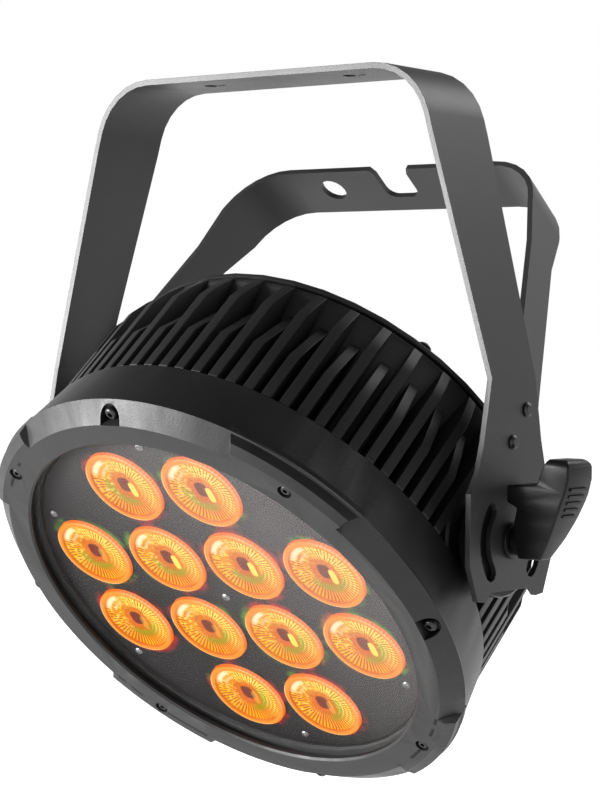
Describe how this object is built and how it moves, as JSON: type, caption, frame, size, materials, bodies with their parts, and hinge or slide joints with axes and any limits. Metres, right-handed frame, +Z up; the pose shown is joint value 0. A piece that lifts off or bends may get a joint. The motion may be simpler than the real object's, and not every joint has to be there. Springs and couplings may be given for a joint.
{
  "type": "par can stage light",
  "caption": "Compact LED stage par light: finned round head behind a glass front with lens cluster, tilting on a double steel yoke with side clamp levers.",
  "frame": {"origin": "middle of the front yoke's bar, on its top face, where a hanging clamp seats", "axes": "+Z up along the hanging bolt, +X along the tilt axis towards the right lever, -Y towards where the light shines, which at rest is 40.6 degrees below level"},
  "size_m": [0.304, 0.2101, 0.3094],
  "materials": {
    "yoke_steel": "black powder coat, satin",
    "casting": "black powder coat on cast aluminium",
    "bezel": "black powder coat on cast aluminium, fine texture",
    "zinc": "black zinc plate",
    "plate": "matt moulded",
    "acrylic": "clear lens with amber light behind",
    "glass": "clear tempered",
    "rubber": "matt",
    "plastic": "moulded black",
    "gloss_black": "polished black",
    "inlet_blue": "moulded",
    "outlet_grey": "moulded",
    "board_core": "solder-masked metal core",
    "circuit": "solder mask",
    "supply": "potted supply block"
  },
  "bodies": {
    "yoke": {"front_yoke": "yoke_steel", "rear_yoke": "yoke_steel", "yoke_screw_left_lower": "zinc", "yoke_screw_left_upper": "zinc", "yoke_screw_right_lower": "zinc", "yoke_screw_right_upper": "zinc"},
    "lamp_head": {"body_casting": "casting", "bezel_ring": "bezel", "bezel_screw_right": "zinc", "bezel_screw_top": "zinc", "bezel_screw_left": "zinc", "bezel_screw_bottom": "zinc", "front_glass": "glass", "glass_gasket": "rubber", "lens_plate": "plate", "lens_01": "acrylic", "lens_02": "acrylic", "lens_03": "acrylic", "lens_04": "acrylic", "lens_05": "acrylic", "lens_06": "acrylic", "lens_07": "acrylic", "lens_08": "acrylic", "lens_09": "acrylic", "lens_10": "acrylic", "lens_11": "acrylic", "lens_12": "acrylic", "led_board": "board_core", "rear_gasket": "rubber", "rear_cover": "casting", "cover_screw_1": "zinc", "cover_screw_2": "zinc", "cover_screw_3": "zinc", "cover_screw_4": "zinc", "display_window": "glass", "power_inlet": "inlet_blue", "power_outlet": "outlet_grey", "data_input": "plastic", "data_output": "plastic", "fuse_cap": "plastic", "safety_loop": "zinc", "power_supply": "supply", "control_board": "circuit", "friction_disc_left": "gloss_black", "knob_washer_left": "zinc", "pivot_bolt_left": "zinc", "tilt_stop_pin_left": "zinc", "friction_disc_right": "gloss_black", "knob_washer_right": "zinc", "pivot_bolt_right": "zinc", "tilt_stop_pin_right": "zinc"},
    "lever_left": {"clamp_lever_left": "plastic"},
    "lever_right": {"clamp_lever_right": "plastic"},
    "menu_button_1_cap": {"menu_button_1": "plastic"},
    "menu_button_2_cap": {"menu_button_2": "plastic"},
    "menu_button_3_cap": {"menu_button_3": "plastic"},
    "menu_button_4_cap": {"menu_button_4": "plastic"}
  },
  "joints": [
    {"name": "head_tilt", "type": "hinge", "parent": "yoke", "child": "lamp_head", "pos_m": [0, 0, -0.1936], "axis": [1, 0, 0], "range_deg": [-40, 40]},
    {"name": "lever_left_turn", "type": "hinge", "parent": "lamp_head", "child": "lever_left", "pos_m": [0, 0, -0.1936], "axis": [-1, 0, 0], "range_deg": [0, 360]},
    {"name": "lever_right_turn", "type": "hinge", "parent": "lamp_head", "child": "lever_right", "pos_m": [0, 0, -0.1936], "axis": [1, 0, 0], "range_deg": [0, 360]},
    {"name": "menu_button_1_press", "type": "slide", "parent": "lamp_head", "child": "menu_button_1_cap", "axis": [0, -0.7593, -0.6508], "range_m": [0, 0.0012], "stiffness_N_per_m": 600, "springref_m": -0.0005},
    {"name": "menu_button_2_press", "type": "slide", "parent": "lamp_head", "child": "menu_button_2_cap", "axis": [0, -0.7593, -0.6508], "range_m": [0, 0.0012], "stiffness_N_per_m": 600, "springref_m": -0.0005},
    {"name": "menu_button_3_press", "type": "slide", "parent": "lamp_head", "child": "menu_button_3_cap", "axis": [0, -0.7593, -0.6508], "range_m": [0, 0.0012], "stiffness_N_per_m": 600, "springref_m": -0.0005},
    {"name": "menu_button_4_press", "type": "slide", "parent": "lamp_head", "child": "menu_button_4_cap", "axis": [0, -0.7593, -0.6508], "range_m": [0, 0.0012], "stiffness_N_per_m": 600, "springref_m": -0.0005}
  ]
}
